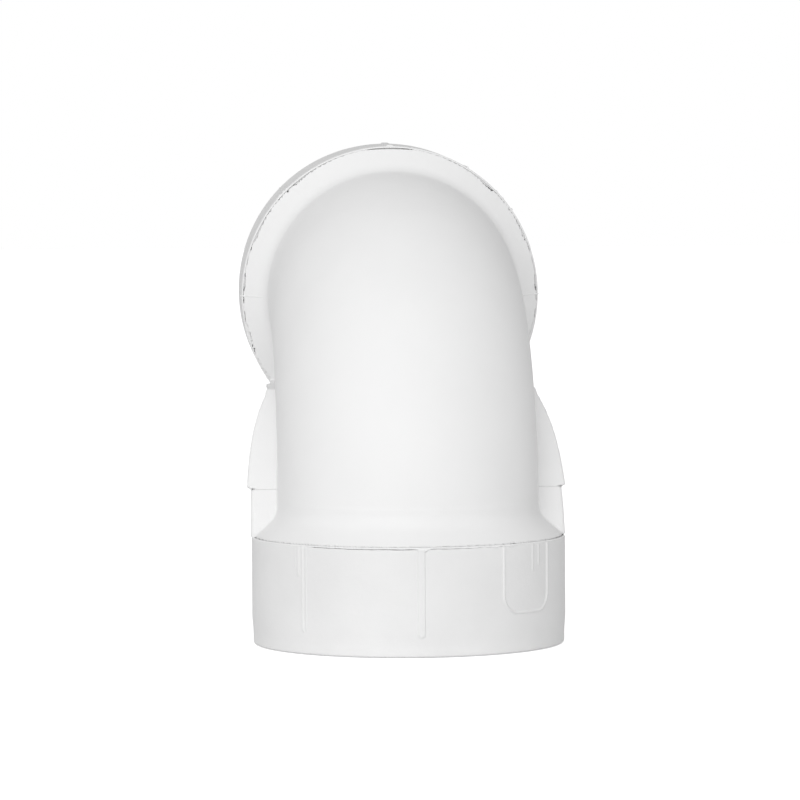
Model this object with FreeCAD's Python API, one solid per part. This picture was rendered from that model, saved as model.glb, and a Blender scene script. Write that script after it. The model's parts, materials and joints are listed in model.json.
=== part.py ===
"""87 degree flue elbow for a concentric 60/100 boiler flue: an outer air duct round an inner flue duct.

Millimetres, +Z up. The origin is the centre of the lower mouth. The lower leg runs up +Z. The upper
leg runs out along +Y and rises 3 degrees, so that condensate runs back into the lower leg. The two
legs are mirror images in the mitre plane, so each upper piece is the reflection of the lower one.
"""
import FreeCAD, Part
import math
import os

from FreeCAD import Vector

# ---- driving dimensions -------------------------------------------------------------------
MOUTH_TO_AXIS = 113.0      # from either mouth to where the legs' axes meet
BEND_ANGLE = 87.0          # degrees through which the duct turns

COLLAR_LENGTH = 36.0
COLLAR_RADIUS = 53.5       # outside of the collar
COLLAR_FOOT_RADIUS = 53.1  # the slightly smaller band next to the mouth
COLLAR_FOOT_HEIGHT = 6.0
COLLAR_FOOT_TAPER = 2.5    # height over which the band widens to the collar's radius
MOUTH_ROUND = 1.2          # rounding of the mouth's outer edge
AIR_BORE_RADIUS = 50.4     # takes a 100 mm air pipe
AIR_LEAD_IN = 1.0
AIR_GROOVE_RADIUS = 52.1
AIR_GROOVE_START = 10.0
AIR_GROOVE_WIDTH = 6.0
JOINT_RADIUS = 52.0        # the bend's spigot sits inside the collar's counterbore
JOINT_DEPTH = 3.5
JOINT_GAP = 0.05

FLARE_HEIGHT = 7.2         # conical shoulder between collar and tube
FLARE_RADIUS = 53.3
TUBE_RADIUS = 44.5         # outside of the round tube
WALL = 2.5

THROAT_RADIUS = 55.2       # outside of the mitred body on the inside of the bend
THROAT_FOOT_RADIUS = 53.8  # the same body between the collar and the horizontal seam
SEAM_HEIGHT = 52.5         # seam above the mouth
EAR_ARC_RADIUS = 150.0     # side-view arc along which the throat body is cut off beside the tube
EAR_APEX = 39.8            # from the meeting of the axes to that arc, along the mitre plane
UPPER_EAR_SLOPE = 1.0      # degrees; on the upper leg a flatter plane from the apex cuts the body

RIB_LENGTH = 29.5          # raised lines on the collar
RIB_WIDTH = 2.3
RIB_HEIGHT = 0.4
FRONT_RIB_ANGLE = 0.0
SIDE_RIB_ANGLE = -45.0
PANEL_ANGLE = 43.5         # middle of the U-shaped outline
PANEL_WIDTH = 23.0
PANEL_LENGTH = 23.0
PANEL_CORNER = 6.0
PANEL_LINE = 0.9

FLUE_RADIUS = 30.0         # outside of the inner 60 mm duct
FLUE_WALL = 1.8
FLUE_BORE_RADIUS = 30.3    # socket for a 60 mm flue pipe
FLUE_MOUTH = 11.5          # how far the inner socket's mouth is recessed
FLUE_STOP = 40.5           # where a pushed-in flue pipe stops
FLUE_SLEEVE_RADIUS = 32.4
FLUE_BEAD_RADIUS = 34.8
FLUE_BEAD_END = 21.5
FLUE_GROOVE_START = 14.5
FLUE_GROOVE_WIDTH = 5.0
FLUE_GROOVE_RADIUS = 33.0

SEAL_LIP = 0.8
SEAL_CLEARANCE = 0.05      # lips are drawn pressed flat, just outside the pipe's bore

SPACER_RING_RADIUS = 34.6
SPACER_RING_START = 33.5
SPACER_RING_END = 40.0
SPACER_FIN_START = 36.8
SPACER_FIN_END = 42.6
SPACER_FIN_THICKNESS = 2.4
SPACER_FIN_ANGLES = (60.0, 180.0, 300.0)

# ---- worked out from them -----------------------------------------------------------------
BEND_START = COLLAR_LENGTH + FLARE_HEIGHT
HALF_BEND = BEND_ANGLE / 2
HALF_TURN = math.radians(HALF_BEND)
BEND_RADIUS = (MOUTH_TO_AXIS - BEND_START) / math.tan(HALF_TURN)
CORNER = Vector(0, 0, MOUTH_TO_AXIS)
MITRE_NORMAL = Vector(0, math.sin(HALF_TURN), math.cos(HALF_TURN))
INWARD = Vector(0, math.cos(HALF_TURN), -math.sin(HALF_TURN))  # along the mitre, to the inner corner
UP = Vector(0, 0, 1)
REACH = 400.0              # larger than the elbow, for cutting solids


def mirrored(shape):
    """The same shape on the other leg."""
    return shape.mirror(CORNER, MITRE_NORMAL)


def lower_half_space():
    """Everything on the lower leg's side of the mitre plane."""
    block = Part.makeBox(REACH, REACH, REACH, Vector(-REACH / 2, -REACH / 2, -REACH))
    block.translate(CORNER)
    block.rotate(CORNER, Vector(1, 0, 0), -HALF_BEND)
    return block


def turned(points):
    """A solid of revolution about Z from (radius, height) points."""
    outline = Part.makePolygon([Vector(r, 0, z) for r, z in points + points[:1]])
    return Part.Face(outline).revolve(Vector(0, 0, 0), UP, 360)


def around(angle, shape):
    """Turns a shape that faces the outside of the bend to the given angle about the leg."""
    copy = shape.copy()
    copy.rotate(Vector(0, 0, 0), UP, angle)
    return copy


def half_torus_tube(radius):
    """The tube from the flare up to the mitre plane."""
    ring = Part.Face(Part.Wire(Part.makeCircle(radius, Vector(0, 0, BEND_START), UP)))
    return ring.revolve(Vector(0, BEND_RADIUS, BEND_START), Vector(-1, 0, 0), HALF_BEND)


def throat_cutter(radius):
    """Cylinder across the bend whose side is the ears' flat face."""
    middle = CORNER + INWARD * (EAR_APEX + EAR_ARC_RADIUS)
    return Part.makeCylinder(radius, 2 * REACH, middle - Vector(REACH, 0, 0), Vector(1, 0, 0))


def below_upper_ears(depth):
    """Everything at least this deep under the plane that cuts the throat body's upper leg."""
    drop = depth / math.cos(math.radians(UPPER_EAR_SLOPE))
    block = Part.makeBox(REACH, 2 * REACH, REACH, Vector(-REACH / 2, -REACH, -REACH))
    block.rotate(Vector(0, 0, 0), Vector(1, 0, 0), UPPER_EAR_SLOPE)
    block.translate(CORNER + INWARD * EAR_APEX - UP * drop)
    return block


def throat_leg(radius, start, cutter_radius):
    """One straight leg of the throat body, up to the mitre plane."""
    leg = Part.makeCylinder(radius, REACH, Vector(0, 0, start), UP)
    return leg.common(throat_cutter(cutter_radius)).common(lower_half_space())


def both_ducts(duct, body, depth):
    """Both legs of the duct and of the throat body on the inside of the bend."""
    upper_body = mirrored(body).common(below_upper_ears(depth))
    return duct.fuse([mirrored(duct), body, upper_body]).removeSplitter()


def bend_outside():
    flare = Part.makeCone(FLARE_RADIUS, TUBE_RADIUS, FLARE_HEIGHT, Vector(0, 0, COLLAR_LENGTH), UP)
    throat = throat_leg(THROAT_RADIUS, SEAM_HEIGHT, EAR_ARC_RADIUS)
    foot = throat_leg(THROAT_FOOT_RADIUS, COLLAR_LENGTH, EAR_ARC_RADIUS)
    foot = foot.cut(Part.makeBox(REACH, REACH, REACH, Vector(-REACH / 2, -REACH / 2, SEAM_HEIGHT)))
    spigot = Part.makeCylinder(JOINT_RADIUS - JOINT_GAP, JOINT_DEPTH,
                               Vector(0, 0, COLLAR_LENGTH - JOINT_DEPTH), UP)
    duct = half_torus_tube(TUBE_RADIUS).fuse([flare, spigot])
    return both_ducts(duct, throat.fuse(foot), 0)


def bend_inside():
    inner = TUBE_RADIUS - WALL
    flare = Part.makeCone(AIR_BORE_RADIUS, inner, FLARE_HEIGHT, Vector(0, 0, COLLAR_LENGTH), UP)
    throat = throat_leg(AIR_BORE_RADIUS, COLLAR_LENGTH, EAR_ARC_RADIUS - WALL)
    mouth = Part.makeCylinder(AIR_BORE_RADIUS, 2 * JOINT_DEPTH,
                              Vector(0, 0, COLLAR_LENGTH - 2 * JOINT_DEPTH), UP)
    return both_ducts(half_torus_tube(inner).fuse([flare, mouth]), throat, WALL)


def rib(angle):
    """A raised line from the collar's upper edge downwards."""
    bar = Part.makeBox(RIB_WIDTH, COLLAR_RADIUS, RIB_LENGTH,
                       Vector(-RIB_WIDTH / 2, -COLLAR_RADIUS - RIB_HEIGHT, COLLAR_LENGTH - RIB_LENGTH))
    return around(angle, bar.common(rib_envelope()))


def rib_envelope():
    """Thin sleeve just outside the collar, in which every raised line lies."""
    sleeve = Part.makeCylinder(COLLAR_RADIUS + RIB_HEIGHT, COLLAR_LENGTH)
    return sleeve.cut(Part.makeCylinder(COLLAR_RADIUS - RIB_HEIGHT, COLLAR_LENGTH))


def rounded_panel(width, length, corner):
    """A block with rounded lower corners, open towards the collar's upper edge."""
    block = Part.makeBox(width, COLLAR_RADIUS, 2 * length,
                         Vector(-width / 2, -COLLAR_RADIUS - 1, COLLAR_LENGTH - length))
    lower_edges = [e for e in block.Edges
                   if abs(e.BoundBox.YLength - COLLAR_RADIUS) < 0.01
                   and abs(e.BoundBox.ZMax - (COLLAR_LENGTH - length)) < 0.01]
    return block.makeFillet(corner, lower_edges)


def panel_outline():
    """The U-shaped raised line."""
    outer = rounded_panel(PANEL_WIDTH, PANEL_LENGTH, PANEL_CORNER)
    inner = rounded_panel(PANEL_WIDTH - 2 * PANEL_LINE, PANEL_LENGTH - PANEL_LINE,
                          PANEL_CORNER - PANEL_LINE)
    return around(PANEL_ANGLE, outer.cut(inner).common(rib_envelope()))


def collar():
    groove_end = AIR_GROOVE_START + AIR_GROOVE_WIDTH
    joint_start = COLLAR_LENGTH - JOINT_DEPTH
    ring = turned([
        (AIR_BORE_RADIUS + AIR_LEAD_IN, 0),
        (COLLAR_FOOT_RADIUS - MOUTH_ROUND / 2, 0),
        (COLLAR_FOOT_RADIUS - MOUTH_ROUND / 6, MOUTH_ROUND / 3),
        (COLLAR_FOOT_RADIUS, MOUTH_ROUND),
        (COLLAR_FOOT_RADIUS, COLLAR_FOOT_HEIGHT),
        (COLLAR_RADIUS, COLLAR_FOOT_HEIGHT + COLLAR_FOOT_TAPER),
        (COLLAR_RADIUS, COLLAR_LENGTH),
        (JOINT_RADIUS, COLLAR_LENGTH),
        (JOINT_RADIUS, joint_start),
        (AIR_BORE_RADIUS, joint_start),
        (AIR_BORE_RADIUS, groove_end),
        (AIR_GROOVE_RADIUS, groove_end),
        (AIR_GROOVE_RADIUS, AIR_GROOVE_START),
        (AIR_BORE_RADIUS, AIR_GROOVE_START),
        (AIR_BORE_RADIUS, AIR_LEAD_IN),
    ])
    return ring.fuse([rib(FRONT_RIB_ANGLE), rib(SIDE_RIB_ANGLE), panel_outline()]).removeSplitter()


def seal(start, width, groove_radius, bore_radius):
    """Lip ring: a flat band in the groove with two lips that point inwards."""
    tip = bore_radius + SEAL_CLEARANCE
    band = tip + (groove_radius - tip) / 2
    lip_step = width / 2
    points = [(groove_radius, start), (groove_radius, start + width), (band, start + width)]
    for top in (start + width - SEAL_LIP, start + width - SEAL_LIP - lip_step):
        points += [(band, top), (tip, top - SEAL_LIP / 2), (tip, top - SEAL_LIP), (band, top - SEAL_LIP)]
    return turned(points + [(band, start)])


def air_seal():
    return seal(AIR_GROOVE_START, AIR_GROOVE_WIDTH, AIR_GROOVE_RADIUS, AIR_BORE_RADIUS)


def flue_seal():
    return seal(FLUE_GROOVE_START, FLUE_GROOVE_WIDTH, FLUE_GROOVE_RADIUS, FLUE_BORE_RADIUS)


def flue_socket():
    """The inner duct's socket, up to where its bend starts."""
    groove_end = FLUE_GROOVE_START + FLUE_GROOVE_WIDTH
    bead_slope = FLUE_BEAD_RADIUS - FLUE_SLEEVE_RADIUS
    inside = FLUE_RADIUS - FLUE_WALL
    return turned([
        (FLUE_BORE_RADIUS + AIR_LEAD_IN, FLUE_MOUTH),
        (FLUE_BEAD_RADIUS - AIR_LEAD_IN, FLUE_MOUTH),
        (FLUE_BEAD_RADIUS, FLUE_MOUTH + AIR_LEAD_IN),
        (FLUE_BEAD_RADIUS, FLUE_BEAD_END - bead_slope),
        (FLUE_SLEEVE_RADIUS, FLUE_BEAD_END),
        (FLUE_SLEEVE_RADIUS, FLUE_STOP),
        (FLUE_RADIUS, BEND_START),
        (inside, BEND_START),
        (inside, FLUE_STOP),
        (FLUE_BORE_RADIUS, FLUE_STOP),
        (FLUE_BORE_RADIUS, groove_end),
        (FLUE_GROOVE_RADIUS, groove_end),
        (FLUE_GROOVE_RADIUS, FLUE_GROOVE_START),
        (FLUE_BORE_RADIUS, FLUE_GROOVE_START),
        (FLUE_BORE_RADIUS, FLUE_MOUTH + AIR_LEAD_IN),
    ])


def flue_elbow():
    bend = half_torus_tube(FLUE_RADIUS).cut(half_torus_tube(FLUE_RADIUS - FLUE_WALL))
    half = bend.fuse(flue_socket())
    return half.fuse(mirrored(half)).removeSplitter()


def spacer(inside):
    """Ring on the inner socket with three fins that end against the bend's shoulder."""
    height = SPACER_RING_END - SPACER_RING_START
    ring = Part.makeCylinder(SPACER_RING_RADIUS, height, Vector(0, 0, SPACER_RING_START), UP)
    bar = Part.makeBox(SPACER_FIN_THICKNESS, AIR_BORE_RADIUS, SPACER_FIN_END - SPACER_FIN_START,
                       Vector(-SPACER_FIN_THICKNESS / 2, -AIR_BORE_RADIUS, SPACER_FIN_START))
    fins = [around(angle, bar) for angle in SPACER_FIN_ANGLES]
    sleeve = Part.makeCylinder(FLUE_SLEEVE_RADIUS, MOUTH_TO_AXIS)
    return ring.fuse(fins).common(inside).cut(sleeve)


def main():
    os.makedirs("parts", exist_ok=True)
    inside = bend_inside()
    nodes = {"bend_shell": bend_outside().cut(inside), "flue_elbow": flue_elbow()}
    lower = {"collar": collar(), "air_seal": air_seal(), "flue_seal": flue_seal(),
             "spacer": spacer(inside)}
    for name, shape in lower.items():
        nodes["lower_" + name] = shape
        nodes["upper_" + name] = mirrored(shape)
    for name, shape in nodes.items():
        print(name, len(shape.Solids), shape.isValid(), round(shape.Volume))
        shape.exportStep("parts/" + name + ".step")


main()
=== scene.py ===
"""Looks of an 87 degree concentric flue elbow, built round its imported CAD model.

Sizes are in millimetres and turn into metres when a mesh is made. The lower leg runs up +Z. The
upper leg runs out along +Y and rises a little. The legs are mirror images in the mitre plane, so
each upper piece is the reflection of the lower one.
"""

import json
import math

import bpy
import numpy as np
from mathutils import Matrix, Vector


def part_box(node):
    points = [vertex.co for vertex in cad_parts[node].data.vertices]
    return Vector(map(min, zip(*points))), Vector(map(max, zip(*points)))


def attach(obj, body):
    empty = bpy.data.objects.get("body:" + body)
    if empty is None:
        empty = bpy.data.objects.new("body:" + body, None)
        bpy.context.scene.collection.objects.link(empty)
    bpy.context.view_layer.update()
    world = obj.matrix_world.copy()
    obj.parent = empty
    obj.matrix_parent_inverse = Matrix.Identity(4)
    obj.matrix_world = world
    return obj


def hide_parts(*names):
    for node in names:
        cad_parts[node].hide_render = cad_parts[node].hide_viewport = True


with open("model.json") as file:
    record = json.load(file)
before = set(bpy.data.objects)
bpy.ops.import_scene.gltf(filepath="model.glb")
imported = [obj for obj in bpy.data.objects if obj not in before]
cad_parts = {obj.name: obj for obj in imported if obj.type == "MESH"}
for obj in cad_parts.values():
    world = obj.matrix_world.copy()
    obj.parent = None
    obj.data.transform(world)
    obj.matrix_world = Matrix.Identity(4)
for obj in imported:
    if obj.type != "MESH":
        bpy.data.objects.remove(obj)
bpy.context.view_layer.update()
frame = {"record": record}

MM = 0.001                              # metres in a millimetre
COLLAR_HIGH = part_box("lower_collar")[1]
SHELL_LOW, SHELL_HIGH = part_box("bend_shell")
FLUE_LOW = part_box("flue_elbow")[0]

# ---- sizes shared with the CAD model ------------------------------------------------------
COLLAR_LENGTH = COLLAR_HIGH.z / MM
UPPER_MOUTH = next(m for m in frame["record"]["mounts"] if m["name"] == "upper_mouth")
HALF_TURN = math.atan2(UPPER_MOUTH["axis"][1], UPPER_MOUTH["axis"][2]) / 2
MOUTH_TO_AXIS = UPPER_MOUTH["pos_m"][1] / MM / math.sin(2 * HALF_TURN)
COLLAR_RADIUS = 53.5
COLLAR_FOOT_RADIUS = 53.1               # the slightly smaller band next to the mouth
AIR_BORE_RADIUS = 50.4
AIR_GROOVE_RADIUS = 52.1
AIR_GROOVE_START = 10.0
AIR_GROOVE_WIDTH = 6.0
JOINT_RADIUS = 52.0                     # the casing's spigot in the collar
JOINT_DEPTH = 3.5
JOINT_GAP = 0.05
FLARE_HEIGHT = 7.2                      # the shoulder between collar and tube
FLARE_RADIUS = 53.3
TUBE_RADIUS = 44.5
WALL = 2.5
THROAT_RADIUS = 55.2                    # the wide body on the inside of the bend
THROAT_FOOT_RADIUS = 53.8               # the same body below its seam
SEAM_HEIGHT = 52.5
EAR_ARC_RADIUS = 150.0                  # the wide body's edges beside the tube
EAR_APEX = 39.8                         # from the meeting of the axes to those edges, on the mitre
UPPER_EAR_SLOPE = math.radians(1.0)
BEND_START = COLLAR_LENGTH + FLARE_HEIGHT
BEND_RADIUS = (MOUTH_TO_AXIS - BEND_START) / math.tan(HALF_TURN)
BEND_LENGTH = 2 * HALF_TURN * BEND_RADIUS


# ---- raised lines on the collar: angles in degrees from the outside of the bend -------------
def arc_length(angle):
    return np.radians(angle) * COLLAR_RADIUS


RIB_HEIGHT = 0.4
RIB_LENGTH = 29.5
RIB_WIDTH = 2.3
FRONT_RIB_ANGLE = 0.0
SIDE_RIB_ANGLE = -45.0
PANEL_ANGLE = 43.5
PANEL_WIDTH = 23.0
PANEL_LENGTH = 23.0
PANEL_CORNER = 6.0
PANEL_LINE = 0.9
FINE_MARKS = [                          # along the rim, length, half width and height
    (arc_length(SIDE_RIB_ANGLE) - 2.6, 10.0, 0.45, 0.22),
    (arc_length(SIDE_RIB_ANGLE) - 4.0, 8.0, 0.25, 0.12),
    (arc_length(46.2), 9.0, 0.4, 0.2),
    (arc_length(49.8), 7.0, 0.45, 0.2),
]
RECESS_RADIUS = 52.6                    # the collar's edge steps in to here under the flare
RECESS_TOP = 0.03


# ---- meshes -------------------------------------------------------------------------------
def new_object(name, points, faces, normals=None):
    """A smooth-shaded mesh object from points in millimetres."""
    mesh = bpy.data.meshes.new(name)
    mesh.from_pydata((np.asarray(points) * MM).tolist(), [], [list(map(int, f)) for f in faces])
    mesh.validate()
    mesh.shade_smooth()
    if normals is not None:
        mesh.normals_split_custom_set_from_vertices(np.asarray(normals).tolist())
    piece = bpy.data.objects.new(name, mesh)
    bpy.context.scene.collection.objects.link(piece)
    return piece


def reflected(y, z, beyond_only=False):
    """The place on the other leg that mirrors this one."""
    across, up = math.sin(HALF_TURN), math.cos(HALF_TURN)
    beyond = y * across + (z - MOUTH_TO_AXIS) * up
    if beyond_only:
        beyond = np.maximum(beyond, 0)
    return y - 2 * beyond * across, z - 2 * beyond * up


def mirrored(points):
    """The same points on the other leg."""
    x, y, z = np.asarray(points).T
    return np.column_stack([x, *reflected(y, z)])


def on_mitre(distance):
    """(y, z) on the mitre plane, at a distance from where the axes meet towards the inner corner."""
    return distance * math.cos(HALF_TURN), MOUTH_TO_AXIS - distance * math.sin(HALF_TURN)


# ---- distances: negative inside a solid, zero on its surface --------------------------------
SHOULDER_FILLET = 3.0
SHOULDER_REACH = 1.4                    # the cone's height, in flare heights, to end inside the tube
EAR_FILLET = 0.9
EAR_EDGE_ROUND = 1.6
INNER_CORNER_FILLET = 2.4
SEAM_STEP = 0.6                         # height over which the wide body steps out
CASING_FOOT_ROUND = 0.3
CASING_EDGE_ROUND = 0.5
SPIGOT_ROOT = 0.5                       # how far the spigot runs on inside the casing


def blend_union(a, b, width):
    """Smaller of two distances, with a fillet."""
    share = np.clip(0.5 + 0.5 * (b - a) / width, 0, 1)
    return b + (a - b) * share - width * share * (1 - share)


def blend_cut(a, b, width):
    """Larger of two distances, with a rounded edge."""
    return -blend_union(-a, -b, width)


def smooth_step(value):
    """Rises from 0 to 1 with level ends."""
    value = np.clip(value, 0, 1)
    return value * value * (3 - 2 * value)


def folded(y, z):
    """The same place on the lower leg: across the bend, and up from the mouth."""
    return reflected(y, z, beyond_only=True)


def round_tube(x, across, up, radius):
    """The round duct: straight, then half of its turn."""
    off = np.hypot(np.minimum(across - BEND_RADIUS, 0), np.maximum(up - BEND_START, 0)) - BEND_RADIUS
    return np.hypot(x, off) - radius


def cone(x, across, up, foot, top):
    """The shoulder between collar and tube. It ends a little way inside the tube."""
    share = np.clip((up - COLLAR_LENGTH) / FLARE_HEIGHT, 0, SHOULDER_REACH)
    slope = math.cos(math.atan((foot - top) / FLARE_HEIGHT))
    side = (np.hypot(x, across) - foot + (foot - top) * share) * slope
    return np.maximum(side, up - COLLAR_LENGTH - SHOULDER_REACH * FLARE_HEIGHT)


def below_ears(y, z):
    """The ears' edges beside the tube: an arc, and a flatter plane on the upper leg."""
    apex_y, apex_z = on_mitre(EAR_APEX)
    middle_y, middle_z = on_mitre(EAR_APEX + EAR_ARC_RADIUS)
    arc = np.hypot(y - middle_y, z - middle_z) - EAR_ARC_RADIUS
    rise = (z - apex_z) * math.cos(UPPER_EAR_SLOPE)
    return np.maximum(arc, rise - (y - apex_y) * math.sin(UPPER_EAR_SLOPE))


def throat(x, y, z, radius_at, depth):
    """The wide body on the inside of the bend, cut off beside the tube."""
    other_y, other_z = reflected(y, z)
    lower = np.hypot(x, y) - radius_at(z)
    upper = np.hypot(x, other_y) - radius_at(other_z)
    both = blend_union(lower, upper, INNER_CORNER_FILLET)
    return blend_cut(both, below_ears(y, z) + depth, EAR_EDGE_ROUND)


def throat_outside(up):
    """Its radius steps out at the seam."""
    step = smooth_step((up - SEAM_HEIGHT + SEAM_STEP / 2) / SEAM_STEP)
    return THROAT_FOOT_RADIUS + (THROAT_RADIUS - THROAT_FOOT_RADIUS) * step


def shell_outside(x, y, z):
    """The casing as if it were full: shoulders, tube, wide body and the spigots in the collars."""
    across, up = folded(y, z)
    radius = np.hypot(x, across)
    flare = cone(x, across, up, FLARE_RADIUS, TUBE_RADIUS)
    body = blend_union(round_tube(x, across, up, TUBE_RADIUS), flare, SHOULDER_FILLET)
    body = blend_union(body, throat(x, y, z, throat_outside, 0), EAR_FILLET)
    body = blend_cut(body, COLLAR_LENGTH - up, CASING_FOOT_ROUND)
    spigot = np.maximum(radius - JOINT_RADIUS + JOINT_GAP, up - COLLAR_LENGTH - SPIGOT_ROOT)
    return np.minimum(body, np.maximum(spigot, COLLAR_LENGTH - JOINT_DEPTH - up))


def shell_inside(x, y, z):
    """The casing's hollow."""
    across, up = folded(y, z)
    inner = TUBE_RADIUS - WALL
    flare = cone(x, across, up, AIR_BORE_RADIUS, inner)
    body = blend_union(round_tube(x, across, up, inner), flare, SHOULDER_FILLET)
    pocket = throat(x, y, z, lambda up: AIR_BORE_RADIUS, WALL)
    body = blend_union(body, pocket, EAR_FILLET)
    return np.minimum(body, np.maximum(np.hypot(x, across) - AIR_BORE_RADIUS, up - COLLAR_LENGTH))


def shell(x, y, z):
    return blend_cut(shell_outside(x, y, z), -shell_inside(x, y, z), CASING_EDGE_ROUND)


# ---- surface of a distance ------------------------------------------------------------------
CORNERS = [np.array([i, j, k]) for i in (0, 1) for j in (0, 1) for k in (0, 1)]
EDGES = [(a, b) for a in CORNERS for b in CORNERS if (b - a).sum() == 1 and (b - a).min() == 0]


def crossing_points(field, cells):
    """One point per crossed cell: the mean of where its edges are crossed, in grid steps."""
    total = np.zeros((len(cells), 3))
    hits = np.zeros(len(cells))
    for a, b in EDGES:
        at_a = field[tuple((cells + a).T)]
        at_b = field[tuple((cells + b).T)]
        cut = (at_a < 0) != (at_b < 0)
        share = np.where(cut, at_a / np.where(cut, at_a - at_b, 1), 0)
        total += cut[:, None] * (a + share[:, None] * (b - a))
        hits += cut
    return cells + total / hits[:, None]


def crossing_faces(inside, number):
    """One quad round each crossed grid edge."""
    quads = []
    for axis in range(3):
        ahead, side, other = (np.eye(3, dtype=int)[(axis + n) % 3] for n in range(3))
        starts = np.argwhere(np.diff(inside, axis=axis))
        starts = starts[(starts @ side > 0) & (starts @ other > 0)]
        limit = np.array(number.shape)
        starts = starts[(starts < limit).all(1)]
        around = [starts - side - other, starts - other, starts, starts - side]
        quad = np.stack([number[tuple(c.T)] for c in around], 1)
        leaving = inside[tuple(starts.T)]
        quads.append(np.where(leaving[:, None], quad, quad[:, ::-1]))
    return np.concatenate(quads)


def slope_of(distance, points, step=0.05):
    """Gradient of a distance at points."""
    x, y, z = points.T
    return np.stack([
        distance(x + step, y, z) - distance(x - step, y, z),
        distance(x, y + step, z) - distance(x, y - step, z),
        distance(x, y, z + step) - distance(x, y, z - step),
    ], 1) / (2 * step)


def settled(distance, points, reach):
    """Points moved onto the surface, by no more than reach in each round."""
    least_slope, least_length, rounds = 0.05, 1e-9, 3
    for _ in range(rounds):
        slope = slope_of(distance, points)
        steepness = np.maximum((slope ** 2).sum(1), least_slope)
        move = slope * (distance(*points.T) / steepness)[:, None]
        length = np.linalg.norm(move, axis=1, keepdims=True)
        points = points - move * np.minimum(1, reach / np.maximum(length, least_length))
    return points


def surface_net(distance, low, high, step):
    """Closed quad mesh of the surface where the distance is zero."""
    lines = [np.arange(a, b + step, step) for a, b in zip(low, high)]
    field = distance(*np.meshgrid(*lines, indexing="ij", copy=False))
    inside = field < 0
    shape = tuple(n - 1 for n in field.shape)
    count = np.zeros(shape, np.int8)
    for i, j, k in CORNERS:
        count += inside[i:i + shape[0], j:j + shape[1], k:k + shape[2]]
    crossed = (count > 0) & (count < len(CORNERS))
    number = np.full(shape, -1)
    number[crossed] = np.arange(crossed.sum())
    cells = np.argwhere(crossed)
    points = np.array(low) + crossing_points(field, cells) * step
    return settled(distance, points, 0.5 * step), crossing_faces(inside, number)


# ---- shader nodes ---------------------------------------------------------------------------
def add_node(tree, kind, **inputs):
    """A shader node with its plain inputs set. Spaces in socket names are written as _."""
    node = tree.nodes.new("ShaderNode" + kind)
    for name, value in inputs.items():
        node.inputs[name.replace("_", " ")].default_value = value
    return node


def mixed_shaders(tree, share, first, second):
    """The first shader where share is 0 and the second where it is 1. Either may be None."""
    mix = add_node(tree, "MixShader")
    tree.links.new(share, mix.inputs["Fac"])
    for slot, shader in ((1, first), (2, second)):
        if shader is not None:
            tree.links.new(shader.outputs[0], mix.inputs[slot])
    return mix


# ---- stage, light and camera: sizes in metres -------------------------------------------------
WHITE = (1, 1, 1, 1)
SURROUND_FRONT, SURROUND_BACK = 0.92, 0.42
BRIGHT_SIDE = (-0.30, -0.95, 0.10)      # where the surroundings are brightest
FADE_FROM, FADE_TO = -0.5, 0.8          # the fade from back to front, along that direction
FRONT_LIGHT = (-0.4, -1.5, 0.8)
FRONT_LIGHT_SIZE = 1.3
FRONT_WATTS = 8.0
PART_MIDDLE = (0, 0.03, 0.08)
FLOOR_HALF_SIDE = 30.0
FLOOR_HEIGHT = -0.0002
FLOOR_GLOW = 0.6


def place_camera():
    """Long lens, a little above the bend and a little to the left of the legs' plane."""
    azimuth, roll = math.radians(4.535), math.radians(-0.32)
    distance, height = 1.368, 0.1442
    aim_left, aim_height = 0.0026, 0.0826
    data = bpy.data.cameras.new("camera")
    data.lens = 180.6
    data.sensor_width = 36.0
    data.clip_end = 20.0
    camera = bpy.data.objects.new("camera", data)
    bpy.context.scene.collection.objects.link(camera)
    camera.location = (-math.sin(azimuth) * distance, -math.cos(azimuth) * distance, height)
    aim = Vector((-aim_left * math.cos(azimuth), aim_left * math.sin(azimuth), aim_height))
    look = (aim - camera.location).to_track_quat("-Z", "Y")
    turn = look.to_matrix().to_4x4() @ Matrix.Rotation(roll, 4, "Z")
    camera.matrix_world = Matrix.Translation(camera.location) @ turn
    bpy.context.scene.camera = camera


def place_light(name, position, aim, size, watts):
    """A round area light that faces its aim."""
    data = bpy.data.lights.new(name, "AREA")
    data.shape = "DISK"
    data.size = size
    data.energy = watts
    light = bpy.data.objects.new(name, data)
    bpy.context.scene.collection.objects.link(light)
    light.location = position
    light.rotation_euler = (Vector(aim) - Vector(position)).to_track_quat("-Z", "Y").to_euler()


def light_stage():
    """White surroundings, brighter in front, with the main light in front and to the left."""
    world = bpy.data.worlds.new("studio")
    bpy.context.scene.world = world
    world.use_nodes = True
    tree = world.node_tree
    surround = tree.nodes["Background"]
    surround.inputs["Color"].default_value = WHITE
    place = add_node(tree, "TexCoord")
    towards_front = add_node(tree, "VectorMath")
    towards_front.operation = "DOT_PRODUCT"
    towards_front.inputs[1].default_value = BRIGHT_SIDE
    fade = add_node(tree, "MapRange", From_Min=FADE_FROM, From_Max=FADE_TO,
                    To_Min=SURROUND_BACK, To_Max=SURROUND_FRONT)
    fade.interpolation_type = "SMOOTHSTEP"
    tree.links.new(place.outputs["Generated"], towards_front.inputs[0])
    tree.links.new(towards_front.outputs["Value"], fade.inputs["Value"])
    tree.links.new(fade.outputs["Result"], surround.inputs["Strength"])
    backdrop = add_node(tree, "Background", Color=WHITE)
    seen = add_node(tree, "LightPath").outputs["Is Camera Ray"]
    mix = mixed_shaders(tree, seen, surround, backdrop)
    tree.links.new(mix.outputs[0], tree.nodes["World Output"].inputs["Surface"])
    place_light("front_light", FRONT_LIGHT, PART_MIDDLE, FRONT_LIGHT_SIZE, FRONT_WATTS)
    view = bpy.context.scene.view_settings
    view.view_transform = "Standard"
    view.look = "None"


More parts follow.
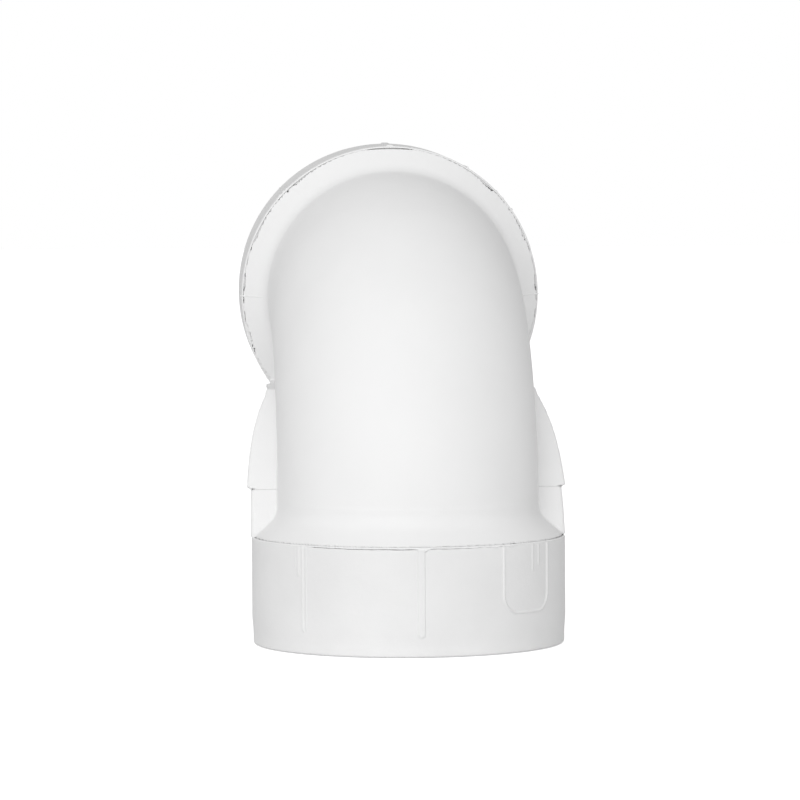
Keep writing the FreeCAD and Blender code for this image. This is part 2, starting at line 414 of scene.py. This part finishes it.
def make_floor():
    """Pale floor, white to the camera and open towards what looks at it from below."""
    mesh = bpy.data.meshes.new("floor")
    corners = [(x * FLOOR_HALF_SIDE, y * FLOOR_HALF_SIDE, FLOOR_HEIGHT)
               for x, y in ((-1, -1), (1, -1), (1, 1), (-1, 1))]
    mesh.from_pydata(corners, [], [(0, 1, 2, 3)])
    floor = bpy.data.objects.new("floor", mesh)
    bpy.context.scene.collection.objects.link(floor)
    material = bpy.data.materials.new("pale_floor")
    material.use_nodes = True
    tree = material.node_tree
    shader = tree.nodes["Principled BSDF"]
    shader.inputs["Base Color"].default_value = (0.9, 0.9, 0.9, 1)
    shader.inputs["Roughness"].default_value = 0.9
    shader.inputs["Specular IOR Level"].default_value = 0.0
    glow = add_node(tree, "Emission", Strength=FLOOR_GLOW)
    seen = add_node(tree, "LightPath").outputs["Is Camera Ray"]
    seen_glow = mixed_shaders(tree, seen, None, glow)
    top = add_node(tree, "AddShader")
    tree.links.new(shader.outputs[0], top.inputs[0])
    tree.links.new(seen_glow.outputs[0], top.inputs[1])
    from_below = add_node(tree, "NewGeometry").outputs["Backfacing"]
    mix = mixed_shaders(tree, from_below, top, add_node(tree, "BsdfTransparent"))
    tree.links.new(mix.outputs[0], tree.nodes["Material Output"].inputs["Surface"])
    mesh.materials.append(material)


place_camera()
light_stage()
make_floor()


# ---- materials ----------------------------------------------------------------------------
PATTERN_LOW, PATTERN_HIGH = 0.3, 0.7    # the range of a noise pattern that is used


def noise(tree, place, scale, detail):
    """Noise pattern; scale is in repeats per metre."""
    node = add_node(tree, "TexNoise", Scale=scale, Detail=detail)
    tree.links.new(place.outputs["Object"], node.inputs["Vector"])
    return node.outputs["Fac"]


def between(tree, value, low, high):
    """Maps a pattern's middle range to low..high."""
    node = add_node(tree, "MapRange", From_Min=PATTERN_LOW, From_Max=PATTERN_HIGH,
                    To_Min=low, To_Max=high)
    tree.links.new(value, node.inputs["Value"])
    return node.outputs["Result"]


def mixed_colour(tree, value, first, second):
    """The first colour where value is 0 and the second where it is 1."""
    node = tree.nodes.new("ShaderNodeMix")
    node.data_type = "RGBA"
    node.inputs["A"].default_value = (*first, 1)
    node.inputs["B"].default_value = (*second, 1)
    tree.links.new(value, node.inputs["Factor"])
    return node.outputs["Result"]


def bumped(tree, value, depth, under=None):
    """Surface relief: depth in metres for the pattern's full range."""
    node = add_node(tree, "Bump", Strength=1.0, Distance=depth)
    tree.links.new(value, node.inputs["Height"])
    if under is not None:
        tree.links.new(under, node.inputs["Normal"])
    return node.outputs["Normal"]


FINISH = "_finish"                      # ends a material's name; the slot's name has no such end
CLOUD_SCALE, GLOSS_SCALE, WAVE_SCALE = 38.0, 160.0, 70.0
WAVE_DEPTH = 0.00008
DULLER, GLOSSIER = 0.08, 0.06           # how far the roughness varies either way


def moulded(slot, light, shade, rough, grain, grain_depth, specular=0.4):
    """Moulded polymer: faint colour clouds, uneven gloss, a fine grain over slow waves."""
    material = bpy.data.materials.new(slot + FINISH)
    material.use_nodes = True
    tree = material.node_tree
    shader = tree.nodes["Principled BSDF"]
    shader.inputs["Specular IOR Level"].default_value = specular
    place = tree.nodes.new("ShaderNodeTexCoord")
    clouds = between(tree, noise(tree, place, CLOUD_SCALE, 4.0), 0.0, 1.0)
    tree.links.new(mixed_colour(tree, clouds, light, shade), shader.inputs["Base Color"])
    gloss = noise(tree, place, GLOSS_SCALE, 5.0)
    gloss = between(tree, gloss, rough - GLOSSIER, rough + DULLER)
    tree.links.new(gloss, shader.inputs["Roughness"])
    waves = bumped(tree, noise(tree, place, WAVE_SCALE, 2.0), WAVE_DEPTH)
    skin = bumped(tree, noise(tree, place, grain, 3.0), grain_depth, under=waves)
    tree.links.new(skin, shader.inputs["Normal"])
    return material


CASING = moulded("casing_white", (0.87, 0.87, 0.87), (0.85, 0.85, 0.85), 0.50, 1500.0, 0.000012,
                 specular=0.22)
COLLAR = moulded("collar_white", (0.84, 0.84, 0.84), (0.80, 0.80, 0.80), 0.50, 620.0, 0.00006,
                 specular=0.3)
FLUE = moulded("flue_plastic", (0.74, 0.75, 0.74), (0.68, 0.69, 0.68), 0.40, 1200.0, 0.00002)
SPACER = moulded("spacer_plastic", (0.80, 0.80, 0.78), (0.75, 0.75, 0.73), 0.45, 1200.0, 0.00002)
RUBBER = moulded("seal_rubber", (0.045, 0.045, 0.05), (0.07, 0.07, 0.072), 0.62, 1800.0, 0.00003)


# ---- bend shell: angles in degrees from the outside of the bend -------------------------------
SHELL_STEP = 0.94                       # cell size of the casing's surface net
FLASH_START, FLASH_END = -42.0, 36.0    # torn lip along the flare's foot
FLASH_ROOT = 52.9
FLASH_REACH = 53.82                     # largest radius of the lip
FLASH_TOP, FLASH_SHOULDER = 0.45, 0.34  # how high it starts on the flare, and half way out
FLASH_STEP = 0.25
FLASH_TAPER = 3.0
JOINT_BEAD_END = 100.0                  # the bead in the joint ends here, either side
JOINT_BEAD_REACH, JOINT_BEAD_DROP = 0.5, 0.09
LINE_WIDTH = 0.3                        # parting line on the upper shoulder
LINE_PROUD, LINE_ROOT = 0.1, 0.3
LINE_START, LINE_END = -0.02, 0.86      # shares of the flare's height
EAR_LINE_PROUD, EAR_LINE_ROOT = 0.12, 0.5


def ragged(angle, seed):
    """Smooth repeatable wobble between 0 and 1 along the rim."""
    waves = [(3.1, 0.7), (7.3, 1.9), (17.0, 4.1), (41.0, 0.3), (83.0, 2.2)]
    total = sum(np.sin(np.radians(angle) * rate + phase * seed) / (1 + 0.12 * n)
                for n, (rate, phase) in enumerate(waves))
    return np.clip(0.5 + 0.25 * total, 0, 1)


def bump_at(angle, middle, width):
    """A smooth hump of height 1."""
    return np.exp(-((angle - middle) / width) ** 2)


def flash_strip(torn):
    """Closed bead that fills the joint at the flare's foot. A torn one has a lip along its front."""
    angle = np.arange(-JOINT_BEAD_END, JOINT_BEAD_END, FLASH_STEP)
    fade = smooth_step((JOINT_BEAD_END + FLASH_STEP - np.abs(angle)) / FLASH_TAPER)
    past_ends = np.maximum(FLASH_START - angle, angle - FLASH_END)
    ends = smooth_step(1 - past_ends / FLASH_TAPER) * torn
    nib = bump_at(angle, 0.8, 1.7) * torn
    blobs = (bump_at(angle, 28.0, 1.2) + bump_at(angle, 34.5, 0.9)) * torn
    reach = FLASH_ROOT + JOINT_BEAD_REACH * fade
    reach = reach + (0.05 + 0.25 * ragged(angle, 1.0)) * ends + 0.12 * nib
    reach = np.minimum(reach, FLASH_REACH)
    hanging = (0.16 * ragged(angle, 2.3) ** 2 - 0.05) * ends
    drop = JOINT_BEAD_DROP * fade + hanging + 1.2 * nib + 0.4 * blobs
    rows = [(FLASH_ROOT, COLLAR_LENGTH + FLASH_TOP),
            (0.5 * (FLASH_ROOT + reach), COLLAR_LENGTH + FLASH_SHOULDER),
            (reach - 0.04, COLLAR_LENGTH + 0.12),
            (reach, COLLAR_LENGTH - 0.5 * drop),
            (reach - 0.08, COLLAR_LENGTH - drop),
            (0.5 * (FLASH_ROOT + reach), COLLAR_LENGTH - 0.5 * drop),
            (FLASH_ROOT, COLLAR_LENGTH - 0.02)]
    points = [ring_points(np.broadcast_to(radius, len(angle)), angle, up) for radius, up in rows]
    return np.concatenate(points), capped_faces(len(rows), len(angle))


def capped_faces(rows, columns):
    """A closed bar whose outline's rows run lengthways, with a face at each end."""
    faces = grid_faces(rows, columns, closed_rows=True, closed_columns=False)
    faces.append([row * columns for row in reversed(range(rows))])
    faces.append([row * columns + columns - 1 for row in range(rows)])
    return [face[::-1] for face in faces]


def parting_line(side):
    """Fine raised line down the upper shoulder, and a nib of flash where it meets the collar."""
    share = np.linspace(LINE_START, LINE_END, 12)
    nib = bump_at(share, LINE_START, 0.05)
    radius = FLARE_RADIUS + (TUBE_RADIUS - FLARE_RADIUS) * share
    up = COLLAR_LENGTH + FLARE_HEIGHT * share
    rows = []
    for proud, aside in ((-LINE_ROOT, -1), (LINE_PROUD, -0.5), (LINE_PROUD, 0.5), (-LINE_ROOT, 1)):
        out = radius + proud + 0.3 * nib * (proud > 0)
        across = side * aside * LINE_WIDTH * np.ones(len(share))
        rows.append(np.column_stack([side * out, across, up + max(proud, 0)]))
    faces = capped_faces(len(rows), len(share))
    return mirrored(np.concatenate(rows)), faces


def ear_line(side):
    """Fine raised line across an ear's face, where the wide body steps out."""
    middle_y, middle_z = on_mitre(EAR_APEX + EAR_ARC_RADIUS)
    across = np.linspace(TUBE_RADIUS - 1.0, THROAT_RADIUS - 1.9, 6)
    level = np.ones(len(across))
    rows = []
    for proud, above in ((-EAR_LINE_ROOT, 0.35), (EAR_LINE_PROUD, 0.1),
                         (EAR_LINE_PROUD, -0.35), (-EAR_LINE_ROOT, -0.4)):
        up = SEAM_HEIGHT + above
        out = middle_y - math.sqrt((EAR_ARC_RADIUS + proud) ** 2 - (up - middle_z) ** 2)
        rows.append(np.column_stack([side * across, out * level, up * level]))
    faces = capped_faces(len(rows), len(across))
    return np.concatenate(rows), faces if side > 0 else [face[::-1] for face in faces]


def ring_points(radius, angle, up):
    """Points about the lower leg; angle 0 faces the outside of the bend."""
    radians = np.radians(angle)
    across = np.stack([radius * np.sin(radians), -radius * np.cos(radians)], 1)
    return np.column_stack([across, np.broadcast_to(up, len(across))])


def grid_faces(rows, columns, closed_rows, closed_columns):
    """Quads of a grid whose rows follow an outline and whose columns go round."""
    faces = []
    for row in range(rows if closed_rows else rows - 1):
        above = (row + 1) % rows
        for column in range(columns if closed_columns else columns - 1):
            ahead = (column + 1) % columns
            faces.append([row * columns + column, row * columns + ahead,
                          above * columns + ahead, above * columns + column])
    return faces


def finished(piece, node, material, sharp_angle=None):
    """Puts a piece in the place of its CAD node, with its material and slot."""
    if sharp_angle is not None:
        piece.data.set_sharp_from_angle(angle=math.radians(sharp_angle))
    piece.data.materials.append(material)
    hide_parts(node)
    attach(piece, "root")
    print(piece.name, len(piece.data.polygons), "faces")


def make_shell():
    """The casing with its joint beads, torn lip and fine lines, in one piece."""
    low = [v / MM - 1.5 * SHELL_STEP for v in SHELL_LOW]
    high = [v / MM + 1.5 * SHELL_STEP for v in SHELL_HIGH]
    points, faces = surface_net(shell, low, high, SHELL_STEP)
    normals = slope_of(shell, points, 0.15)
    piece = new_object("bend_casing", points, faces, normals)
    add_part(piece, *flash_strip(torn=1))
    bead_points, bead_faces = flash_strip(torn=0)
    add_part(piece, mirrored(bead_points), [face[::-1] for face in bead_faces])
    for side in (-1, 1):
        add_part(piece, *parting_line(side))
        add_part(piece, *ear_line(side))
    finished(piece, "bend_shell", CASING)


def add_part(piece, points, faces):
    """Joins one more closed mesh part to a piece."""
    extra = new_object(piece.name + "_part", points, faces)
    with bpy.context.temp_override(active_object=piece, selected_editable_objects=[piece, extra]):
        bpy.ops.object.join()


# ---- collars ------------------------------------------------------------------------------
FINE_START, FINE_END = -52.0, 58.5      # where columns are close together, in degrees
FINE_COLUMN, COARSE_COLUMN = 0.32, 1.5
ROW_HEIGHT = 0.32
FOOT_END, FOOT_TAPER = 3.0, 7.0         # the foot widens to the collar over FOOT_TAPER from there
MOUTH_ROUND = 0.8
BORE_MOUTH_ROUND = 0.9
TOP_EDGE_ROUND = 0.3
BORE_TOP_ROUND = 0.4
GROOVE_ROUND = 0.3
TORN_EDGE_DEPTH = 1.2                   # the torn edge's drop fades out this far down
NEAR = 0.01


def bead(distance, half_width, height, edge=0.35):
    """Raised line: full height within half_width of its middle, rounded off at the edge."""
    return height * smooth_step((half_width + 0.5 * edge - np.abs(distance)) / edge)


def stroke(along, up, middle, bottom, half_width, height):
    """Raised upright line from the collar's upper edge down to bottom."""
    end = np.maximum(bottom + half_width - up, 0)
    return bead(np.hypot(along - middle, end), half_width, height)


def panel_line(along, up):
    """The U-shaped outline, open at the collar's upper edge."""
    half = PANEL_WIDTH / 2 - PANEL_LINE / 2
    length = PANEL_LENGTH - PANEL_LINE / 2
    out_x = np.abs(along - arc_length(PANEL_ANGLE)) - half + PANEL_CORNER
    out_y = COLLAR_LENGTH - length + PANEL_CORNER - up
    outside = np.hypot(np.maximum(out_x, 0), np.maximum(out_y, 0))
    distance = outside + np.minimum(np.maximum(out_x, out_y), 0) - PANEL_CORNER
    return bead(distance, PANEL_LINE / 2 - 0.1, RIB_HEIGHT, 0.3)


def collar_relief(angle, up):
    """Height of everything that stands proud of the collar's outer face."""
    along = arc_length(angle)
    bottom = COLLAR_LENGTH - RIB_LENGTH
    relief = stroke(along, up, arc_length(FRONT_RIB_ANGLE), bottom, RIB_WIDTH / 2, RIB_HEIGHT)
    side, side_bottom = arc_length(SIDE_RIB_ANGLE), bottom + 1.0
    side_rib = stroke(along, up, side, side_bottom, 0.95, 0.8 * RIB_HEIGHT)
    relief = np.maximum(relief, side_rib)
    for middle, length, half_width, height in FINE_MARKS:
        mark = stroke(along, up, middle, COLLAR_LENGTH - length, half_width, height)
        relief = np.maximum(relief, mark)
    relief = np.maximum(relief, panel_line(along, up))
    side_groove = stroke(along, up, side + 0.2, side_bottom, 0.45, 0.35)
    return relief - side_groove


def collar_angles():
    """Columns round the collar, close together where lines and edges need them."""
    fine = np.arange(FINE_START, FINE_END, FINE_COLUMN)
    coarse = np.arange(FINE_END, FINE_START + 360, COARSE_COLUMN)
    return np.concatenate([fine, coarse])


def corner(radius, up, outwards, upwards, start, count):
    """Outline points round the corner at (radius, up): a quarter turn on from start, in degrees.

    outwards and upwards lead from the sharp corner to the arc's middle, and angle 0 is outwards.
    """
    size = abs(outwards)
    turn = np.radians(np.linspace(start, start + 90, count))
    return [(radius + outwards + size * math.cos(t), up + upwards + size * math.sin(t))
            for t in turn]


def collar_outline():
    """Half section as (radius, height), from the mouth up the outside and down the bore."""
    top, joint = COLLAR_LENGTH - RECESS_TOP, COLLAR_LENGTH - JOINT_DEPTH
    groove = AIR_GROOVE_START + AIR_GROOVE_WIDTH
    outline = corner(COLLAR_FOOT_RADIUS, 0, -MOUTH_ROUND, MOUTH_ROUND, -90, 7)
    for up in np.arange(2.0, top - TOP_EDGE_ROUND - 0.1, ROW_HEIGHT):
        widening = smooth_step((up - FOOT_END) / FOOT_TAPER)
        outline.append((COLLAR_FOOT_RADIUS + (COLLAR_RADIUS - COLLAR_FOOT_RADIUS) * widening, up))
    outline += corner(COLLAR_RADIUS, top, -TOP_EDGE_ROUND, -TOP_EDGE_ROUND, 0, 5)
    outline += [(RECESS_RADIUS, top), (RECESS_RADIUS, COLLAR_LENGTH)]
    outline += [(JOINT_RADIUS, COLLAR_LENGTH), (JOINT_RADIUS, joint)]
    outline += corner(AIR_BORE_RADIUS, joint, BORE_TOP_ROUND, -BORE_TOP_ROUND, 90, 4)
    outline += [(AIR_BORE_RADIUS, up) for up in (28.0, 22.0)]
    outline += corner(AIR_BORE_RADIUS, groove, GROOVE_ROUND, GROOVE_ROUND, 180, 3)
    outline += [(AIR_GROOVE_RADIUS, groove), (AIR_GROOVE_RADIUS, AIR_GROOVE_START)]
    outline += corner(AIR_BORE_RADIUS, AIR_GROOVE_START, GROOVE_ROUND, -GROOVE_ROUND, 90, 3)
    outline += [(AIR_BORE_RADIUS, 6.0), (AIR_BORE_RADIUS, 1.4)]
    outline += corner(AIR_BORE_RADIUS, 0, BORE_MOUTH_ROUND, BORE_MOUTH_ROUND, 180, 5)
    return np.array(outline)


def collar_recess(angle):
    """How far the torn stretch of the collar's edge lies under the flare's foot."""
    ends = smooth_step(np.minimum(angle - FLASH_START, FLASH_END - angle) / 2.0)
    middle = bump_at(angle, -16.0, 14.0)
    return (0.06 + 0.20 * ragged(angle, 3.7) + 0.22 * middle) * ends


def collar_mesh(torn):
    """The whole ring; on a torn one, a stretch of the upper edge lies lower."""
    outline, angles = collar_outline(), collar_angles()
    recess = collar_recess((angles + 180) % 360 - 180) * torn
    rows = []
    for radius, up in outline:
        outer = radius > COLLAR_FOOT_RADIUS - NEAR and up > 1.5
        proud = collar_relief(angles, up) if outer else 0
        edge = smooth_step((up - COLLAR_LENGTH + TORN_EDGE_DEPTH) / (0.75 * TORN_EDGE_DEPTH))
        edge = edge * (radius > RECESS_RADIUS - NEAR) * (up < COLLAR_LENGTH - 0.5 * RECESS_TOP)
        rows.append(ring_points(radius + proud, angles, up - recess * edge))
    faces = grid_faces(len(outline), len(angles), closed_rows=True, closed_columns=True)
    return np.concatenate(rows), faces


def make_pair(name, node, points, faces, material, sharp_angle, upper_points=None):
    """A piece on the lower leg and its reflection, or that of upper_points, on the upper leg."""
    finished(new_object("lower_" + name, points, faces), "lower_" + node, material, sharp_angle)
    points = mirrored(points if upper_points is None else upper_points)
    faces = [face[::-1] for face in faces]
    finished(new_object("upper_" + name, points, faces), "upper_" + node, material, sharp_angle)


# ---- inner pieces -------------------------------------------------------------------------
SPACER_STEP = 0.5                       # cell size of the spacers' surface net
MOUTH_EDGE = 0.9                        # rounding of the flue sockets' mouths
STOP_EDGE = 0.5
GROOVE_EDGE = 0.2
FLUE_ROW = 2.2
FLUE_RADIUS = 30.0
FLUE_WALL = 1.8
FLUE_BORE_RADIUS = 30.3
FLUE_MOUTH = FLUE_LOW.z / MM
FLUE_STOP = 40.5
FLUE_SLEEVE_RADIUS = 32.4
FLUE_BEAD_RADIUS = -FLUE_LOW.y / MM
FLUE_BEAD_END = 21.5
FLUE_GROOVE_START = 14.5
FLUE_GROOVE_WIDTH = 5.0
FLUE_GROOVE_RADIUS = 33.0
SEAL_LIP = 0.8
SEAL_CLEARANCE = 0.05
SPACER_RING_RADIUS = 34.6
SPACER_RING = (33.5, 40.0)
SPACER_FINS = (36.8, 42.6)
SPACER_FIN_THICKNESS = 2.4
SPACER_FIN_ANGLES = (60.0, 180.0, 300.0)


def path_points(along, radius, angles):
    """A ring of points round the duct's centre line, a distance along it from the lower mouth."""
    turn = min(max((along - BEND_START) / BEND_RADIUS, 0), 2 * HALF_TURN)
    past = max(along - BEND_START - BEND_LENGTH, 0)
    centre_y = BEND_RADIUS * (1 - math.cos(turn)) + past * math.sin(turn)
    centre_z = min(along, BEND_START) + BEND_RADIUS * math.sin(turn) + past * math.cos(turn)
    out = radius * np.cos(angles)
    return np.column_stack([radius * np.sin(angles), centre_y - out * math.cos(turn),
                            centre_z + out * math.sin(turn)])


def flue_outside():
    """Half of the flue's outside, from its lower mouth to where its bend starts."""
    outline = arc_along(FLUE_MOUTH + MOUTH_EDGE, FLUE_BEAD_RADIUS - MOUTH_EDGE, MOUTH_EDGE, 0, 90)
    slope_start = FLUE_BEAD_END - FLUE_BEAD_RADIUS + FLUE_SLEEVE_RADIUS
    for step in np.linspace(0, 1, 9):
        fall = smooth_step(step) * (FLUE_BEAD_RADIUS - FLUE_SLEEVE_RADIUS)
        outline.append((slope_start + step * (FLUE_BEAD_END - slope_start), FLUE_BEAD_RADIUS - fall))
    outline += [(up, FLUE_SLEEVE_RADIUS) for up in (26.0, 32.0, FLUE_STOP - 0.4)]
    for step in np.linspace(0, 1, 7):
        fall = smooth_step(step) * (FLUE_SLEEVE_RADIUS - FLUE_RADIUS)
        outline.append((FLUE_STOP + step * (BEND_START - FLUE_STOP), FLUE_SLEEVE_RADIUS - fall))
    return outline


def flue_bore():
    """Half of the flue's bore, from its lower mouth to where its bend starts."""
    inside = FLUE_RADIUS - FLUE_WALL
    groove_end = FLUE_GROOVE_START + FLUE_GROOVE_WIDTH
    edge_radius = FLUE_BORE_RADIUS + GROOVE_EDGE
    outline = arc_along(FLUE_MOUTH + MOUTH_EDGE, FLUE_BORE_RADIUS + MOUTH_EDGE, MOUTH_EDGE, 360, 270)
    outline += [(FLUE_GROOVE_START - GROOVE_EDGE, FLUE_BORE_RADIUS), (FLUE_GROOVE_START, edge_radius)]
    outline += [(FLUE_GROOVE_START, FLUE_GROOVE_RADIUS), (groove_end, FLUE_GROOVE_RADIUS)]
    outline += [(groove_end, edge_radius), (groove_end + GROOVE_EDGE, FLUE_BORE_RADIUS)]
    outline += [(up, FLUE_BORE_RADIUS) for up in (26.0, 33.0, FLUE_STOP)]
    outline += arc_along(FLUE_STOP + STOP_EDGE, inside + STOP_EDGE, STOP_EDGE, 360, 270)
    return outline + [(BEND_START, inside)]


def arc_along(middle, radius, size, start, end):
    """Round corner as (distance along, radius); angle 0 faces the mouth and 90 faces outwards."""
    turn = np.radians(np.linspace(start, end, 6))
    return [(middle - size * math.cos(t), radius + size * math.sin(t)) for t in turn]


def flue_mesh():
    """The flue duct: both halves' outside and bore, swept along its centre line."""
    total = 2 * BEND_START + BEND_LENGTH
    bend = np.arange(BEND_START + 2.0, total / 2, FLUE_ROW)
    outside = flue_outside() + [(along, FLUE_RADIUS) for along in bend]
    bore = flue_bore() + [(along, FLUE_RADIUS - FLUE_WALL) for along in bend]
    outside += [(total - along, radius) for along, radius in reversed(outside)]
    bore += [(total - along, radius) for along, radius in reversed(bore)]
    outline = outside + bore[::-1]
    angles = np.radians(np.arange(0, 360, 3.0))
    rows = [path_points(along, radius, angles) for along, radius in outline]
    return np.concatenate(rows), grid_faces(len(rows), len(angles), True, True)


def seal_mesh(start, width, groove_radius, bore_radius):
    """Lip ring: a band in its groove with two lips that point inwards."""
    outer_edge, inner_edge = 0.2, 0.1
    tip = bore_radius + SEAL_CLEARANCE
    band = tip + (groove_radius - tip) / 2
    end = start + width
    outline = [(groove_radius, start + outer_edge), (groove_radius, end - outer_edge)]
    outline += [(groove_radius - outer_edge, end), (band + inner_edge, end)]
    outline += [(band, end - inner_edge)]
    for top in (end - SEAL_LIP, end - SEAL_LIP - width / 2):
        outline += [(band, top), (tip + 0.2, top - 0.3 * SEAL_LIP), (tip, top - 0.55 * SEAL_LIP)]
        outline += [(tip, top - 0.9 * SEAL_LIP), (tip + 0.15, top - SEAL_LIP), (band, top - SEAL_LIP)]
    outline += [(band, start + inner_edge), (band + inner_edge, start)]
    outline += [(groove_radius - outer_edge, start)]
    angles = np.arange(0, 360, 2.5)
    rows = [ring_points(radius, angles, up) for radius, up in outline]
    return np.concatenate(rows), grid_faces(len(rows), len(angles), True, True)


def slab(value, low, high):
    """Distance from the slab between low and high."""
    return np.abs(value - (low + high) / 2) - (high - low) / 2


def spacer_body(x, y, z):
    """Ring on the flue's socket with three fins that end against the casing's shoulder."""
    radius = np.hypot(x, y)
    body = blend_cut(radius - SPACER_RING_RADIUS, slab(z, *SPACER_RING), 0.5)
    for angle in np.radians(SPACER_FIN_ANGLES):
        out = x * math.sin(angle) - y * math.cos(angle)
        aside = np.abs(x * math.cos(angle) + y * math.sin(angle)) - SPACER_FIN_THICKNESS / 2
        fin = np.maximum(blend_cut(aside, slab(z, *SPACER_FINS), 0.6), -out)
        body = blend_union(body, blend_cut(fin, shell_inside(x, y, z) + 0.1, 0.4), 0.8)
    return np.maximum(body, FLUE_SLEEVE_RADIUS - radius)


def spacer_mesh():
    margin = 2 * SPACER_STEP
    reach = AIR_BORE_RADIUS + margin
    low = (-reach, -reach, SPACER_RING[0] - margin)
    high = (reach, reach, SPACER_FINS[1] + margin)
    return surface_net(spacer_body, low, high, SPACER_STEP)


make_shell()
make_pair("collar_ring", "collar", *collar_mesh(torn=1), COLLAR, 40, collar_mesh(torn=0)[0])
finished(new_object("flue_duct", *flue_mesh()), "flue_elbow", FLUE, 35)
make_pair("spacer_ring", "spacer", *spacer_mesh(), SPACER, 35)
air_seal = seal_mesh(AIR_GROOVE_START, AIR_GROOVE_WIDTH, AIR_GROOVE_RADIUS, AIR_BORE_RADIUS)
make_pair("air_lip_seal", "air_seal", *air_seal, RUBBER, 50)
flue_seal = seal_mesh(FLUE_GROOVE_START, FLUE_GROOVE_WIDTH, FLUE_GROOVE_RADIUS, FLUE_BORE_RADIUS)
make_pair("flue_lip_seal", "flue_seal", *flue_seal, RUBBER, 50)
